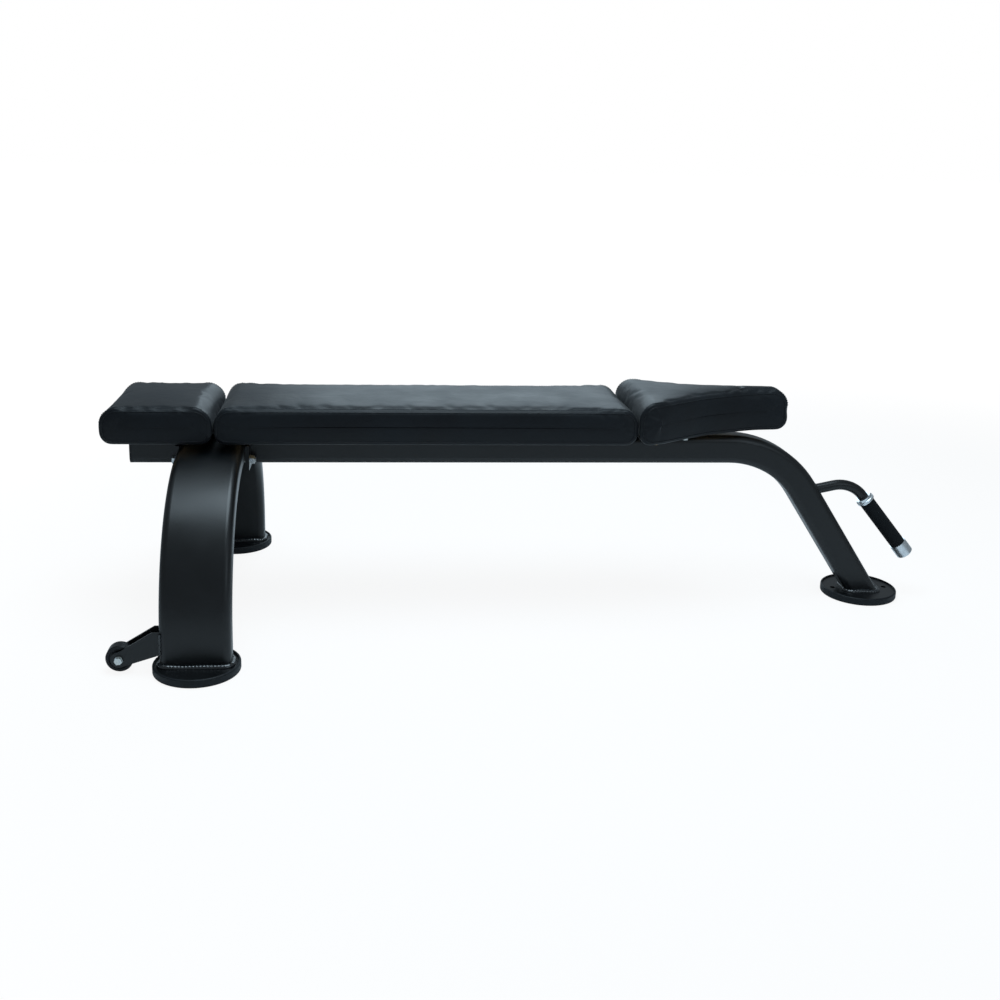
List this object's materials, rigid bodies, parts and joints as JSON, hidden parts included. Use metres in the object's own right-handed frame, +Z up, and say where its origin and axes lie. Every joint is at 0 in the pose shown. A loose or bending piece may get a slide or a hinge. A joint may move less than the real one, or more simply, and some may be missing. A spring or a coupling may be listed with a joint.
{
  "type": "flat weight bench",
  "caption": "Flat weight bench with separate head, back and seat pads on a bent steel beam, arch legs, a slanted leg with a lifting handle, and transport wheels.",
  "frame": {"origin": "on the floor at the centre of the single foot under the seat end, midway between its two anchor holes", "axes": "+X along the bench from the head pad to the seat end, +Y across it, +Z up from the floor"},
  "size_m": [1.7098, 0.856, 0.461],
  "materials": {
    "vinyl": "black leather-cloth, satin sheen",
    "frame_coat": "satin black powder coat",
    "boot_rubber": "moulded matt black rubber",
    "grip_rubber": "soft matt black rubber",
    "wheel_nylon": "moulded black nylon",
    "bush_plastic": "white acetal",
    "cap_plastic": "moulded black polypropylene",
    "aluminium": "satin turned aluminium",
    "zinc": "bright zinc plate",
    "plywood": "raw birch plywood"
  },
  "bodies": {
    "frame": {"tail_foot_boot": "boot_rubber", "tail_foot_plate": "frame_coat", "front_foot_boot": "boot_rubber", "front_foot_plate": "frame_coat", "back_foot_boot": "boot_rubber", "back_foot_plate": "frame_coat", "main_beam": "frame_coat", "front_leg": "frame_coat", "back_leg": "frame_coat", "clamp_plate_head": "frame_coat", "clamp_plate_seat": "frame_coat", "front_wheel_fork": "frame_coat", "back_wheel_fork": "frame_coat", "seat_wedge": "frame_coat", "handle_tube": "frame_coat", "beam_end_cap": "cap_plastic", "clamp_bolts": "zinc", "clamp_washers": "zinc", "clamp_nuts": "zinc", "front_axle_spacer": "zinc", "front_axle_bolt": "zinc", "front_axle_washers": "zinc", "front_axle_nut": "zinc", "back_axle_spacer": "zinc", "back_axle_bolt": "zinc", "back_axle_washers": "zinc", "back_axle_nut": "zinc", "head_pad_cushion": "vinyl", "head_pad_board": "plywood", "head_pad_bars": "frame_coat", "head_pad_bolts": "zinc", "head_pad_washers": "zinc", "head_pad_tee_nuts": "zinc", "back_pad_cushion": "vinyl", "back_pad_board": "plywood", "back_pad_bars": "frame_coat", "back_pad_bolts": "zinc", "back_pad_washers": "zinc", "back_pad_tee_nuts": "zinc", "seat_pad_cushion": "vinyl", "seat_pad_board": "plywood", "seat_pad_bars": "frame_coat", "seat_pad_bolts": "zinc", "seat_pad_washers": "zinc", "seat_pad_tee_nuts": "zinc", "handle_collar": "aluminium", "handle_end_cap": "aluminium", "handle_grip": "grip_rubber"},
    "front_wheel": {"front_wheel": "wheel_nylon", "front_wheel_bush": "bush_plastic"},
    "back_wheel": {"back_wheel": "wheel_nylon", "back_wheel_bush": "bush_plastic"}
  },
  "joints": [
    {"name": "front_wheel_spin", "type": "hinge", "parent": "frame", "child": "front_wheel", "pos_m": [-1.53, -0.348, 0.028], "axis": [0, 1, 0], "continuous": true},
    {"name": "back_wheel_spin", "type": "hinge", "parent": "frame", "child": "back_wheel", "pos_m": [-1.53, 0.348, 0.028], "axis": [0, 1, 0], "continuous": true}
  ]
}
